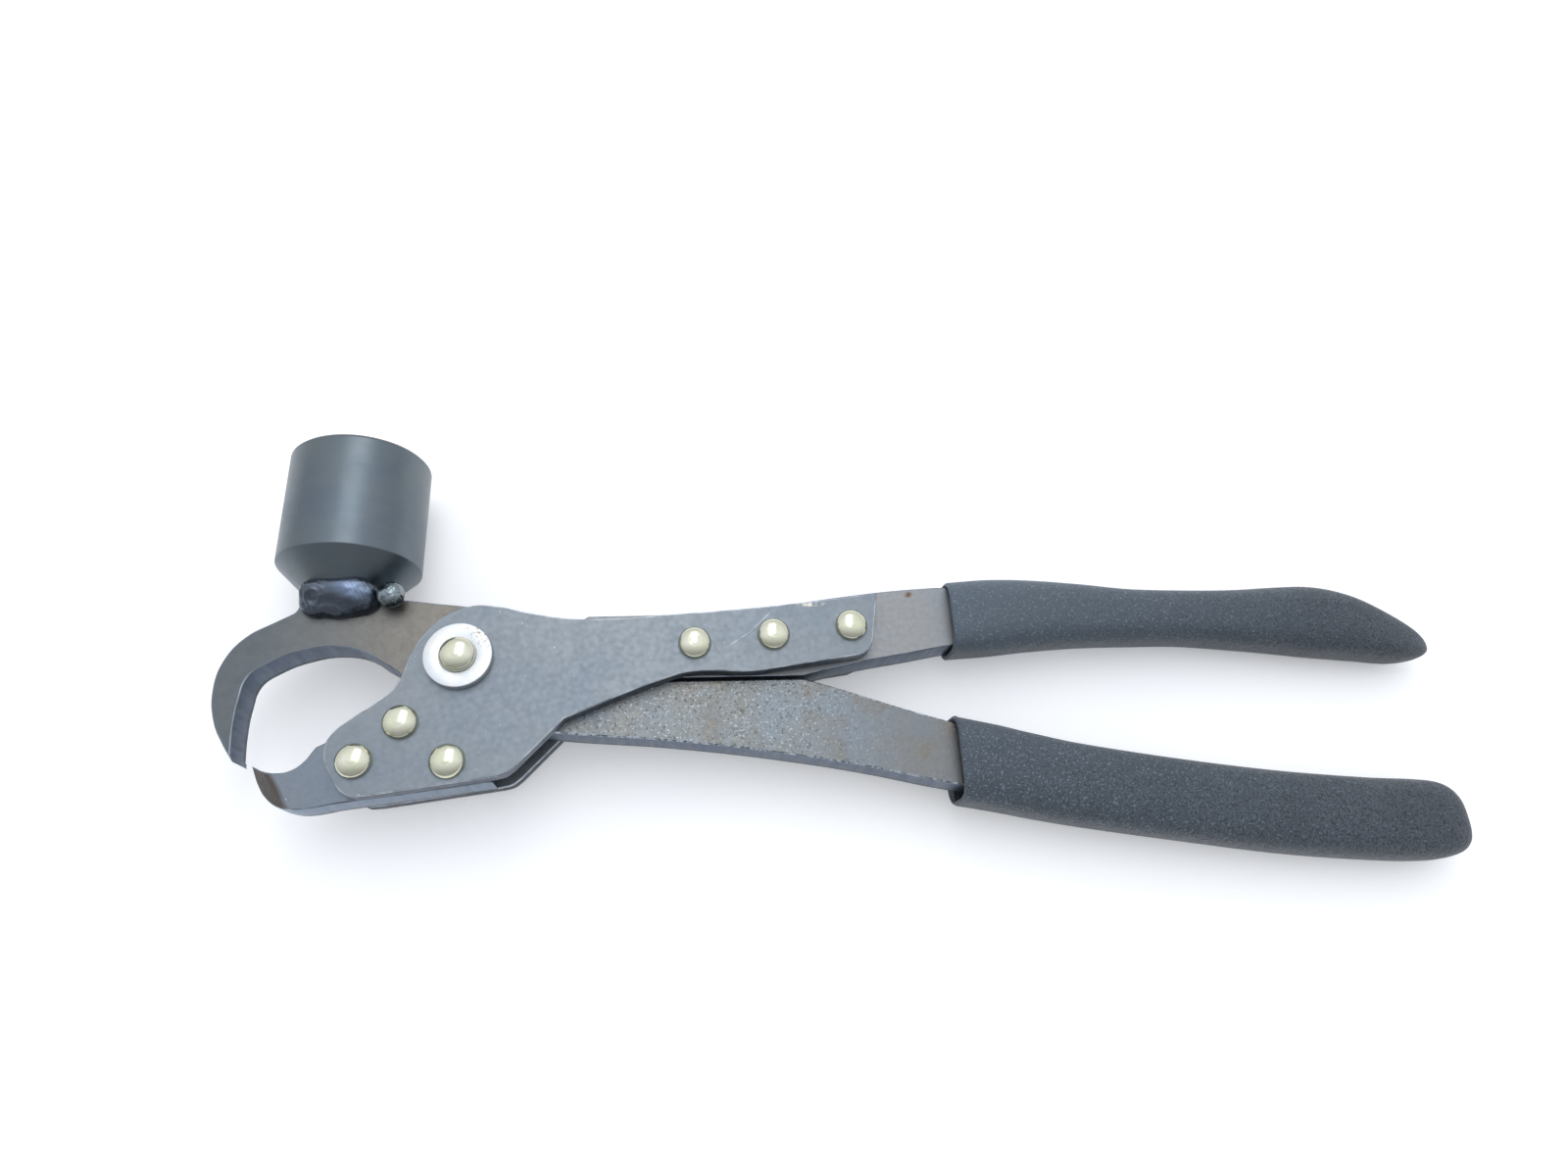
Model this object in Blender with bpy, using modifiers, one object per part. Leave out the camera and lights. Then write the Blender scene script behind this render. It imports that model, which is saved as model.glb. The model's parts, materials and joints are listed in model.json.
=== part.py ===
"""Wheel-weight plier with a welded hammer head, lying flat with its jaws closed.

Two cheek plates sandwich a fixed lower jaw and a fixed upper handle bar.
A one-piece lever (hooked jaw, pivot eye and lower handle) turns between them
on a riveted pivot.  A turned hammer head is welded to the hook's top edge.

Frame: +X runs towards the handles, +Y towards the hammer face, +Z up.
The origin is at the middle of the bounding box, on the surface it lies on.
Outlines are in millimetres from the pivot, and MM turns them to metres.
"""
import math

import bmesh
import bpy
from mathutils import Matrix, Vector

MM = 0.001

# ---- driving dimensions, in millimetres from the pivot axis ----
CLEARANCE = 0.3            # gap kept between neighbouring solids
CORE_THICKNESS = 7.2       # lever, lower jaw and upper handle bar
CHEEK_THICKNESS = 3.2
HOOK_END_X = -44.43        # leftmost point of the hook
GRIP_END_X = 208.9         # rightmost point of the upper grip
LOWER_GRIP_Y = -44.70      # lowest point of the lower grip

HAMMER_X = -23.9           # hammer axis
HAMMER_RADIUS = 13.6
HAMMER_FACE_Y = 45.0
HAMMER_SHOULDER_Y = 21.0
HAMMER_SEAT_Y = 13.3       # flat on the hook's top edge, under the hammer
HAMMER_NECK_RADIUS = 8.0
HAMMER_NECK_Y = 15.4        # where the 45-degree cone meets the neck
HAMMER_FACE_CHAMFER = 0.8

PIVOT_EYE_RADIUS = 11.4    # round part of the lever between the cheeks
PIVOT_EYE_GAP = 0.7        # room between that eye and the fixed lower jaw
EYE_TOP = (68, 30)         # arcs of the eye's outline, in degrees from +X
EYE_BOTTOM = (-82, -156)
JAW_EYE = (-148, -108)     # arc of the lower jaw that follows the eye
JAW_EYE_CORNER = -104      # where that arc meets the jaw's base
PIVOT_SHANK_RADIUS = 3.0
PIVOT_HEAD_RADIUS = 3.4
PIVOT_HEAD_HEIGHT = 2.1
BUSH_RADIUS = 5.0
WASHER_RADIUS = 6.35
WASHER_THICKNESS = 1.4

RIVET_SHANK_RADIUS = 2.0
RIVET_HEAD_RADIUS = 3.25
RIVET_HEAD_HEIGHT = 2.0
JAW_RIVETS = [(-9.5, -12.35), (-16.9, -19.3), (-0.7, -19.8)]
HANDLE_RIVETS = [(44.5, 2.2), (60.2, 3.8), (76.1, 5.5)]

NOSE_BEVEL = 3.0           # how far the jaw's nose is ground back at its faces
NOSE_EDGE = [(-33.4, -19.9), (-31.9, -22.5), (-30.0, -24.9), (-27.6, -26.9)]

WELD_RADIUS = 4.1
WELD_LENGTH = 14.0
WELD_OFFSET = (0.1, -0.1)  # the bead's centre from the middle of the hammer's seat
WELD_RISE = 1.0            # the bead's centre above the lever's face
LUMP_BLUNTNESS = 0.3       # share of a lump's radius that keeps its round end
TACK_RADIUS = 2.6
TACK_OFFSET = (10.1, -0.2)
TACK_RISE = 3.0

CIRCLE_POINTS = 24
CURVE_STEPS = 6
GRIP_SIDES = 24
MOUTH_RUN_OUT = 8.0        # how far a grip's pocket is cut past its mouth
GRIP_SQUARENESS = 2.8      # superellipse exponent of the grips' section

CORE_HALF = CORE_THICKNESS / 2
CHEEK_INNER = CORE_HALF + CLEARANCE
CHEEK_OUTER = CHEEK_INNER + CHEEK_THICKNESS
PIVOT = Vector((-(HOOK_END_X + GRIP_END_X) / 2,
                -(HAMMER_FACE_Y + LOWER_GRIP_Y) / 2,
                HAMMER_RADIUS)) * MM

# ---- outlines: "c" is a corner, "s" a point on a smooth curve ----
HOOK_OUTER = [
    (-39.0, -17.9, "c"), (-41.1, -14.8, "s"), (-43.3, -10.5, "s"),
    (-44.4, -4.5, "s"), (-43.4, 1.2, "s"), (-40.2, 5.8, "s"),
    (-35.3, 8.8, "s"), (-32.9, 10.1, "c"), (-31.7, 11.0, "s"),
    (-31.2, HAMMER_SEAT_Y, "c"),
    (-13.2, HAMMER_SEAT_Y, "c"), (-5.3, 12.3, "s"), (1.0, 11.5, "s"),
]
HOOK_INNER = [
    (-11.2, -2.3, "s"), (-14.8, 0.3, "s"), (-18.6, 2.7, "s"),
    (-23.8, 3.7, "s"), (-29.3, 3.0, "s"), (-35.6, 0.4, "s"),
    (-38.5, -2.0, "s"), (-39.5, -6.5, "s"), (-39.7, -12.0, "s"),
    (-39.4, -16.6, "c"),
]
LEVER_TOP = [
    (11.5, 1.2, "s"), (14.6, -3.2, "s"), (19.5, -4.4, "c"), (66.2, -4.4, "c"),
    (72.1, -6.2, "s"), (80.0, -8.9, "s"), (88.0, -11.6, "s"),
]
LEVER_BOTTOM = [
    (90.1, -25.3, "s"), (80.0, -22.9, "s"), (65.2, -20.0, "s"),
    (40.7, -16.4, "s"), (18.0, -14.2, "s"), (9.0, -12.9, "s"),
]
CHEEK = [
    (1.7, 10.5, "s"), (5.2, 10.5, "s"), (11.4, 9.2, "s"), (18.0, 7.9, "s"),
    (23.0, 7.5, "s"), (42.6, 8.5, "s"), (62.5, 10.2, "s"), (82.1, 12.6, "c"),
    (80.5, 3.0, "c"), (79.6, 0.6, "s"), (77.4, -0.7, "c"), (61.5, -3.0, "s"),
    (56.1, -3.7, "s"), (43.6, -3.6, "s"), (39.6, -4.6, "s"),
    (19.8, -12.3, "c"), (11.2, -21.2, "c"), (9.6, -22.4, "s"),
    (7.6, -22.9, "c"), (-14.6, -25.6, "c"), (-17.4, -25.4, "s"),
    (-20.6, -22.0, "s"), (-22.3, -16.6, "s"), (-21.4, -14.3, "s"),
    (-18.0, -11.2, "s"), (-14.8, -9.0, "s"), (-12.2, -6.9, "s"),
    (-10.3, -3.8, "s"), (-8.9, 1.0, "s"), (-5.9, 6.0, "s"),
    (-2.4, 9.1, "s"),
]
JAW_NOSE = [
    (-28.0, -26.95, "s"), (-30.8, -26.1, "s"), (-33.3, -24.3, "s"),
    (-35.0, -21.9, "s"), (-36.3, -18.4, "c"),
]
JAW_CONCAVE = [
    (-33.6, -19.8, "s"), (-31.0, -20.25, "s"), (-28.5, -19.7, "s"),
    (-26.5, -18.1, "s"), (-25.5, -16.6, "s"), (-24.9, -15.7, "c"),
    (-23.3, -14.9, "c"), (-16.0, -9.9, "s"), (-11.0, -5.4, "c"),
]
JAW_BASE = [(5.2, -19.8, "c"), (6.9, -23.2, "c"), (-19.8, -26.1, "s")]
BAR_TOP = [
    (22.4, 8.2, "s"), (23.6, 9.3, "c"), (43.0, 9.7, "s"), (63.2, 11.5, "s"),
    (73.5, 12.9, "s"), (84.1, 14.2, "s"), (91.0, 14.8, "s"),
]
BAR_BOTTOM = [
    (89.0, 0.7, "s"), (78.5, -1.0, "s"), (72.4, -2.3, "s"),
    (66.3, -3.75, "c"), (25.0, -3.75, "c"), (22.4, -1.6, "c"),
]
# steel inside the grips: x, middle height, half height
UPPER_CORE = [(97.0, 8.6, 6.5), (112.0, 9.4, 5.5), (128.0, 9.3, 4.6),
              (150.0, 8.6, 4.0), (175.0, 7.8, 4.0), (188.0, 6.8, 4.0)]
LOWER_CORE = [(95.2, -20.1, 6.3), (112.0, -24.4, 6.0), (132.0, -28.6, 5.6),
              (153.0, -32.2, 5.2), (175.0, -34.9, 5.0), (194.0, -36.0, 4.6)]
# grips: x, middle height, half height, half thickness
UPPER_GRIP = [(97.9, 8.65, 7.75, 6.4), (107.0, 9.25, 7.95, 6.6),
              (116.0, 9.65, 7.5, 6.5), (128.0, 9.55, 6.7, 6.2),
              (139.0, 9.0, 6.05, 6.0), (151.0, 8.75, 5.9, 5.9),
              (163.0, 8.25, 6.4, 6.0), (174.0, 7.95, 7.25, 6.2),
              (181.0, 7.6, 7.75, 6.3), (187.0, 6.9, 7.6, 6.3),
              (193.0, 5.6, 6.9, 6.0), (200.0, 3.35, 5.4, 5.0),
              (205.0, 1.95, 3.6, 3.7), (207.6, 1.3, 2.1, 2.3),
              (GRIP_END_X, 1.15, 0.9, 1.0)]
LOWER_GRIP = [(96.1, -21.1, 8.6, 6.6), (105.0, -23.0, 8.6, 6.7),
              (112.0, -24.7, 8.5, 6.7), (122.0, -26.9, 8.3, 6.6),
              (143.0, -30.6, 8.2, 6.6), (164.0, -33.8, 8.3, 6.6),
              (184.0, -35.9, 8.3, 6.6), (194.5, -36.5, 8.2, 6.5),
              (199.5, -36.6, 7.5, 6.0), (202.2, -36.9, 6.0, 4.8),
              (203.6, -37.1, 3.6, 2.9)]


# ---- scene set-up ----
def clear_scene():
    for obj in list(bpy.data.objects):
        bpy.data.objects.remove(obj, do_unlink=True)


def new_collection(name):
    collection = bpy.data.collections.new(name)
    bpy.context.scene.collection.children.link(collection)
    return collection


def new_material(name, colour, roughness, metallic):
    material = bpy.data.materials.new(name)
    material.use_nodes = True
    shader = material.node_tree.nodes["Principled BSDF"]
    shader.inputs["Base Color"].default_value = (*colour, 1.0)
    shader.inputs["Roughness"].default_value = roughness
    shader.inputs["Metallic"].default_value = metallic
    return material


def add_object(name, data, colour, roughness, metallic):
    """Link a finished piece at the pivot, with a material of its own."""
    obj = bpy.data.objects.new(name, data)
    parts.objects.link(obj)
    obj.location = PIVOT
    data.materials.append(new_material(name, colour, roughness, metallic))
    return obj


def cut_away(bm, point, normal):
    """Cut off what lies on the normal's side of a plane, and close the cut."""
    bmesh.ops.bisect_plane(bm, geom=bm.verts[:] + bm.edges[:] + bm.faces[:],
                           plane_co=point, plane_no=normal, clear_outer=True)
    rim = [edge for edge in bm.edges if edge.is_boundary]
    bmesh.ops.holes_fill(bm, edges=rim, sides=0)


# ---- flat plates ----
def add_outline(curve, points):
    """Add one closed Bezier outline to a 2D curve."""
    spline = curve.splines.new("BEZIER")
    spline.bezier_points.add(len(points) - 1)
    spline.use_cyclic_u = True
    for knot, (x, y, kind) in zip(spline.bezier_points, points):
        handle = "VECTOR" if kind == "c" else "AUTO"
        knot.co = (x * MM, y * MM, 0)
        knot.handle_left_type = handle
        knot.handle_right_type = handle


def add_hole(curve, centre, radius):
    spline = curve.splines.new("POLY")
    spline.points.add(CIRCLE_POINTS - 1)
    spline.use_cyclic_u = True
    for i, point in enumerate(spline.points):
        angle = 2 * math.pi * i / CIRCLE_POINTS
        x = centre[0] + radius * math.cos(angle)
        y = centre[1] + radius * math.sin(angle)
        point.co = (x * MM, y * MM, 0, 1)


def plate_mesh(name, points, thickness, holes=(), middle=0.0):
    """Cut a plate from sheet: a filled 2D curve, extruded and made a mesh."""
    curve = bpy.data.curves.new(name, "CURVE")
    curve.dimensions = "2D"
    curve.fill_mode = "BOTH"
    curve.resolution_u = CURVE_STEPS
    curve.extrude = thickness * MM / 2
    add_outline(curve, points)
    for centre, radius in holes:
        add_hole(curve, centre, radius)
    guide = bpy.data.objects.new(name + "_outline", curve)
    parts.objects.link(guide)
    guide.location.z = middle * MM
    bpy.context.view_layer.update()
    solid = guide.evaluated_get(bpy.context.evaluated_depsgraph_get())
    mesh = bpy.data.meshes.new_from_object(solid)
    mesh.transform(guide.matrix_world)
    bpy.data.objects.remove(guide, do_unlink=True)
    bm = bmesh.new()
    bm.from_mesh(mesh)
    bmesh.ops.remove_doubles(bm, verts=bm.verts, dist=0.00001)
    bm.to_mesh(mesh)
    bm.free()
    mesh.name = name
    return mesh


def arc(radius, start, end, steps):
    """Smooth outline points on a circle about the pivot, in degrees."""
    angles = [start + (end - start) * i / steps for i in range(steps + 1)]
    return [(radius * math.cos(math.radians(a)),
             radius * math.sin(math.radians(a)), "s") for a in angles]


def core_outline(stations, side, grow=0.0):
    """One edge of the steel inside a grip; side is 1 for its top edge."""
    return [(x, mid + side * (half + grow), "s") for x, mid, half in stations]


def square_end(stations, grow=0.0):
    """The two corners that end the steel inside a grip."""
    x, mid, half = stations[-1]
    return [(x + grow, mid + half + grow, "c"), (x + grow, mid - half - grow, "c")]


def build_lever():
    points = (HOOK_OUTER
              + arc(PIVOT_EYE_RADIUS, *EYE_TOP, 3)
              + LEVER_TOP
              + core_outline(LOWER_CORE[:-1], 1)
              + square_end(LOWER_CORE)
              + core_outline(LOWER_CORE[:-1], -1)[::-1]
              + LEVER_BOTTOM
              + arc(PIVOT_EYE_RADIUS, *EYE_BOTTOM, 5)
              + HOOK_INNER)
    hole = [((0, 0), BUSH_RADIUS + CLEARANCE)]
    mesh = plate_mesh("hook_jaw_lever", points, CORE_THICKNESS, hole)
    return add_object("hook_jaw_lever", mesh, (0.16, 0.16, 0.17), 0.5, 0.8)


def grind_nose(mesh):
    """Grind flats on the jaw's nose, from its middle plane to each face."""
    bm = bmesh.new()
    bm.from_mesh(mesh)
    for (x, y), (next_x, next_y) in zip(NOSE_EDGE, NOSE_EDGE[1:]):
        outward = Vector((next_y - y, x - next_x, 0)).normalized()
        for side in (1, -1):
            normal = outward * CORE_HALF + Vector((0, 0, side * NOSE_BEVEL))
            cut_away(bm, Vector((x, y, side * CORE_HALF)) * MM, normal)
    bm.to_mesh(mesh)
    bm.free()


def build_lower_jaw():
    eye = PIVOT_EYE_RADIUS + PIVOT_EYE_GAP
    corner = math.radians(JAW_EYE_CORNER)
    points = (JAW_NOSE + JAW_CONCAVE
              + arc(eye, *JAW_EYE, 3)
              + [(eye * math.cos(corner), eye * math.sin(corner), "c")]
              + JAW_BASE)
    holes = [(xy, RIVET_SHANK_RADIUS + CLEARANCE) for xy in JAW_RIVETS]
    mesh = plate_mesh("lower_jaw", points, CORE_THICKNESS, holes)
    grind_nose(mesh)
    return add_object("lower_jaw", mesh, (0.17, 0.18, 0.19), 0.5, 0.8)


def build_handle_bar():
    points = (BAR_TOP
              + core_outline(UPPER_CORE[:-1], 1)
              + square_end(UPPER_CORE)
              + core_outline(UPPER_CORE[:-1], -1)[::-1]
              + BAR_BOTTOM)
    holes = [(xy, RIVET_SHANK_RADIUS + CLEARANCE) for xy in HANDLE_RIVETS]
    mesh = plate_mesh("upper_handle_bar", points, CORE_THICKNESS, holes)
    return add_object("upper_handle_bar", mesh, (0.16, 0.16, 0.17), 0.5, 0.8)


def build_cheek(name, side):
    """side is 1 for the plate that faces up and -1 for the one beneath."""
    middle = side * (CHEEK_INNER + CHEEK_OUTER) / 2
    holes = [(xy, RIVET_SHANK_RADIUS + CLEARANCE)
             for xy in JAW_RIVETS + HANDLE_RIVETS]
    holes.append(((0, 0), PIVOT_SHANK_RADIUS + CLEARANCE))
    mesh = plate_mesh(name, CHEEK, CHEEK_THICKNESS, holes, middle)
    return add_object(name, mesh, (0.25, 0.29, 0.33), 0.45, 0.7)


# ---- turned pieces ----
def turned_object(name, profile, steps, colour, roughness, metallic):
    """Turn a profile (radius, height) about +Z with a Screw modifier."""
    mesh = bpy.data.meshes.new(name)
    points = [(r * MM, 0, z * MM) for r, z in profile]
    edges = [(i, i + 1) for i in range(len(points) - 1)]
    mesh.from_pydata(points, edges, [])
    obj = add_object(name, mesh, colour, roughness, metallic)
    screw = obj.modifiers.new("Turn", "SCREW")
    screw.steps = steps
    screw.render_steps = steps
    screw.use_merge_vertices = True
    screw.merge_threshold = 0.00001
    return obj


def dome(radius, base, height, steps=3):
    """Half profile of a domed head that stands on base, from its top down."""
    points = []
    for i in range(steps + 1):
        angle = math.pi / 2 * i / steps
        points.append((radius * math.sin(angle), base + height * math.cos(angle)))
    return points


def build_rivet(name, centre, shank, head, height, seat):
    """A solid rivet with a domed head at each end."""
    top = dome(head, seat, height)
    profile = top + [(shank, seat), (shank, -seat)]
    profile += [(r, -z) for r, z in reversed(top)]
    rivet = turned_object(name, profile, 16, (0.62, 0.6, 0.42), 0.3, 1.0)
    rivet.location = PIVOT + Vector((centre[0], centre[1], 0)) * MM
    return rivet


def ring(name, inner, outer, bottom, top, colour):
    profile = [(inner, top), (outer, top), (outer, bottom),
               (inner, bottom), (inner, top)]
    return turned_object(name, profile, 24, colour, 0.35, 1.0)


def build_pivot():
    hole = PIVOT_SHANK_RADIUS + CLEARANCE
    low = CHEEK_OUTER + CLEARANCE
    high = low + WASHER_THICKNESS
    zinc = (0.75, 0.75, 0.76)
    ring("front_pivot_washer", hole, WASHER_RADIUS, low, high, zinc)
    ring("back_pivot_washer", hole, WASHER_RADIUS, -high, -low, zinc)
    bush = ring("pivot_bush", hole, BUSH_RADIUS, -CORE_HALF, CORE_HALF,
                (0.5, 0.4, 0.2))
    build_rivet("pivot_rivet", (0, 0), PIVOT_SHANK_RADIUS, PIVOT_HEAD_RADIUS,
                PIVOT_HEAD_HEIGHT, high + CLEARANCE)
    return bush


def build_hammer():
    """Hammer head turned about its own axis, then laid along +Y."""
    base = HAMMER_SEAT_Y + CLEARANCE
    chamfer = HAMMER_FACE_CHAMFER
    profile = [(0, HAMMER_FACE_Y), (HAMMER_RADIUS - chamfer, HAMMER_FACE_Y),
               (HAMMER_RADIUS, HAMMER_FACE_Y - chamfer),
               (HAMMER_RADIUS, HAMMER_SHOULDER_Y),
               (HAMMER_NECK_RADIUS, HAMMER_NECK_Y),
               (HAMMER_NECK_RADIUS, base), (0, base)]
    hammer = turned_object("hammer_head", profile, 48, (0.07, 0.08, 0.1), 0.4, 0.9)
    hammer.rotation_euler = (-math.pi / 2, 0, 0)
    hammer.location = PIVOT + Vector((HAMMER_X, 0, 0)) * MM
    return hammer


# ---- welds ----
def lump_mesh(name, centre, radius, length, cuts):
    """A rounded run of weld metal, stretched along X and cut flat by planes."""
    bm = bmesh.new()
    bmesh.ops.create_uvsphere(bm, u_segments=20, v_segments=12, radius=radius,
                              matrix=Matrix.Rotation(math.pi / 2, 4, "Y"))
    stretch = length / 2 - radius
    for vert in bm.verts:
        share = vert.co.x / (LUMP_BLUNTNESS * radius)
        vert.co.x += stretch * max(-1, min(1, share))
        vert.co += Vector(centre)
    for point, normal in cuts:
        cut_away(bm, point, normal)
    bmesh.ops.scale(bm, vec=(MM, MM, MM), verts=bm.verts)
    mesh = bpy.data.meshes.new(name)
    bm.to_mesh(mesh)
    bm.free()
    return mesh


def build_weld(name, side):
    """The fillet between the hook's face and the underside of the hammer."""
    centre = (HAMMER_X + WELD_OFFSET[0], HAMMER_SEAT_Y + WELD_OFFSET[1],
              side * (CORE_HALF + WELD_RISE))
    cuts = [((0, 0, side * (CORE_HALF + CLEARANCE)), (0, 0, -side)),
            ((0, HAMMER_SEAT_Y, 0), (0, 1, 0))]
    mesh = lump_mesh(name, centre, WELD_RADIUS, WELD_LENGTH, cuts)
    return add_object(name, mesh, (0.05, 0.06, 0.08), 0.25, 0.9)


def build_tack():
    """A separate round spot of weld at the bead's right-hand end."""
    centre = (HAMMER_X + TACK_OFFSET[0], HAMMER_SEAT_Y + TACK_OFFSET[1],
              CORE_HALF + TACK_RISE)
    mesh = lump_mesh("hammer_weld_tack", centre, TACK_RADIUS, 2 * TACK_RADIUS, [])
    return add_object("hammer_weld_tack", mesh, (0.1, 0.11, 0.13), 0.25, 0.9)


# ---- grips ----
def section(station):
    """One rounded-rectangle section of a grip, in the plane of its station."""
    x, middle, half_height, half_thickness = station
    points = []
    for i in range(GRIP_SIDES):
        angle = 2 * math.pi * i / GRIP_SIDES
        c, s = math.cos(angle), math.sin(angle)
        y = half_height * math.copysign(abs(c) ** (2 / GRIP_SQUARENESS), c)
        z = half_thickness * math.copysign(abs(s) ** (2 / GRIP_SQUARENESS), s)
        points.append(Vector((x, middle + y, z)) * MM)
    return points


def sleeve_mesh(name, stations):
    """Loft unlike sections into one closed body."""
    bm = bmesh.new()
    loops = []
    for station in stations:
        verts = [bm.verts.new(point) for point in section(station)]
        loops.append(verts)
    for left, right in zip(loops, loops[1:]):
        for i in range(GRIP_SIDES):
            j = (i + 1) % GRIP_SIDES
            bm.faces.new((left[i], left[j], right[j], right[i]))
    bm.faces.new(loops[0][::-1])
    bm.faces.new(loops[-1])
    bmesh.ops.recalc_face_normals(bm, faces=bm.faces)
    mesh = bpy.data.meshes.new(name)
    bm.to_mesh(mesh)
    bm.free()
    return mesh


def build_grip(name, stations, core):
    """A closed-end sleeve with a pocket that clears the steel inside it."""
    mesh = sleeve_mesh(name, stations)
    grip = add_object(name, mesh, (0.05, 0.055, 0.06), 0.85, 0.0)
    (x, middle, half), (next_x, next_middle, _) = core[:2]
    slope = (next_middle - middle) / (next_x - x)
    pocket = [(x - MOUTH_RUN_OUT, middle - MOUTH_RUN_OUT * slope, half)] + core
    points = (core_outline(pocket[:-1], 1, CLEARANCE)
              + square_end(pocket, CLEARANCE)
              + core_outline(pocket[:-1], -1, CLEARANCE)[::-1])
    corners = [(x, y, "c") for x, y, _ in (points[0], points[-1])]
    points = corners[:1] + points[1:-1] + corners[1:]
    cutter_mesh = plate_mesh(name + "_pocket", points,
                             CORE_THICKNESS + 2 * CLEARANCE)
    cutter = bpy.data.objects.new(name + "_pocket", cutter_mesh)
    cutter.location = PIVOT
    cutter.hide_render = True
    cutter.display_type = "WIRE"
    cutters.objects.link(cutter)
    cut = grip.modifiers.new("Pocket", "BOOLEAN")
    cut.operation = "DIFFERENCE"
    cut.solver = "EXACT"
    cut.object = cutter
    return grip


def main():
    lever = build_lever()
    build_lower_jaw()
    build_handle_bar()
    build_cheek("front_cheek_plate", 1)
    build_cheek("back_cheek_plate", -1)
    bush = build_pivot()
    seat = CHEEK_OUTER + CLEARANCE
    for prefix, centres in (("jaw", JAW_RIVETS), ("handle", HANDLE_RIVETS)):
        for number, centre in enumerate(centres, 1):
            build_rivet(f"{prefix}_rivet_{number}", centre, RIVET_SHANK_RADIUS,
                        RIVET_HEAD_RADIUS, RIVET_HEAD_HEIGHT, seat)
    hammer = build_hammer()
    welds = [build_weld("hammer_weld_front", 1), build_weld("hammer_weld_back", -1),
             build_tack()]
    build_grip("upper_grip", UPPER_GRIP, UPPER_CORE)
    lower_grip = build_grip("lower_grip", LOWER_GRIP, LOWER_CORE)

    pivot_axis = bpy.data.objects.new("pivot_axis", None)
    pivot_axis.location = PIVOT
    parts.objects.link(pivot_axis)
    bpy.context.view_layer.update()
    for obj in [lever, bush, hammer, lower_grip] + welds:
        obj.parent = pivot_axis
        obj.matrix_parent_inverse = pivot_axis.matrix_world.inverted()
    for obj in parts.objects:
        if obj.type == "MESH" and obj.modifiers.get("Turn"):
            obj.data.shade_smooth()
            obj.data.set_sharp_from_angle(angle=math.radians(35))


clear_scene()
parts = new_collection("wheel_weight_hammer_plier")
cutters = new_collection("cutters")
main()
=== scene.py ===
# %% [markdown]
# # A wheel-weight plier with a welded hammer head
# This notebook dresses a finished CAD model. The CAD model gives the size and
# place of each part and the joint, so it is loaded first and stays fixed. Around
# it we build the pieces that the eye sees: eased rims, domed rivets, weld beads
# and foam grips, and a finish for each kind of steel.

# %% Load the fixed frame
import json
import math

import bmesh
import bpy
from mathutils import Matrix, Quaternion, Vector, noise


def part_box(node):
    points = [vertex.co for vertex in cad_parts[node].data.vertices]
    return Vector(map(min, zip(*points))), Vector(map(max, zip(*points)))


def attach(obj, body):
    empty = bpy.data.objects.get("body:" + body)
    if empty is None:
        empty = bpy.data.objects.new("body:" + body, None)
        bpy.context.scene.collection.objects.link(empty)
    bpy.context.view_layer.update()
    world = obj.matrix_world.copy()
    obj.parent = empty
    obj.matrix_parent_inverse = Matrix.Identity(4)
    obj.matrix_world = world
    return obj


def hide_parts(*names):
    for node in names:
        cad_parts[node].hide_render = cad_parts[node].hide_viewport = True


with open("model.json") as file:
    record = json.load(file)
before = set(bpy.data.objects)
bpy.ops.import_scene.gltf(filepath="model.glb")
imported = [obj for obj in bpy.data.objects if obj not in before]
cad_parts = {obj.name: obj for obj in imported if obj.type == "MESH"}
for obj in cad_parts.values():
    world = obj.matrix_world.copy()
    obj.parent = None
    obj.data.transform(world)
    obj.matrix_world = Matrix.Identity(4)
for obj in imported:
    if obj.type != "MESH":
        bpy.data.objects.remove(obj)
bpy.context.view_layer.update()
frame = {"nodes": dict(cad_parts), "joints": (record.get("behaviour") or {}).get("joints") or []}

MM = 0.001
pivot = Vector(frame["joints"][0]["pos_m"])

# %% [markdown]
# ## Measuring from the pivot
# A plier is drawn from its pivot, because everything turns about it. So every
# place on the tool is in millimetres from the pivot's centre, with X towards the
# handles, Y towards the hammer and Z up. One helper turns that into metres.


# %% A place on the tool
def at(x, y, z=0.0):
    """A point in metres from millimetres off the pivot's centre."""
    return pivot + Vector((x, y, z)) * MM


def span(node):
    """Lowest and highest corner of a CAD node, in millimetres off the pivot."""
    low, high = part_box(node)
    return (low - pivot) / MM, (high - pivot) / MM


core_low, core_high = span("lower_jaw")
cheek_low, cheek_high = span("front_cheek_plate")
print("steel core", round(core_high.z - core_low.z, 2), "mm thick, cheek",
      round(cheek_high.z - cheek_low.z, 2), "mm thick")

# %% [markdown]
# ## Colours and nodes
# A colour picked on a screen is sRGB, but a shader works in linear light, so one
# function converts it. Building a material is adding nodes and joining them. One
# small function does both and hands back the new node's output, so that each
# finish below reads like a recipe.


# %% Colour and node helpers
def linear(hex_colour):
    """sRGB hex to the linear RGBA that shaders read."""
    parts = [int(hex_colour[i:i + 2], 16) / 255 for i in (1, 3, 5)]
    curve = [p / 12.92 if p <= 0.04045 else ((p + 0.055) / 1.055) ** 2.4
             for p in parts]
    return (*curve, 1.0)


def add(tree, kind, output, inputs, **settings):
    """Add a shader node, set or link its inputs, and return one output."""
    node = tree.nodes.new("ShaderNode" + kind)
    for name, value in settings.items():
        setattr(node, name, value)
    for socket, value in inputs.items():
        if isinstance(value, bpy.types.NodeSocket):
            tree.links.new(value, node.inputs[socket])
        else:
            node.inputs[socket].default_value = value
    return node.outputs[output]


# A Mix node holds sockets for every data type; these are the ones for colours.
FACTOR, UNDER, OVER, COLOUR = 0, 6, 7, 2
RGBA = {"data_type": "RGBA"}
TIMES = {"data_type": "RGBA", "blend_type": "MULTIPLY"}


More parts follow.
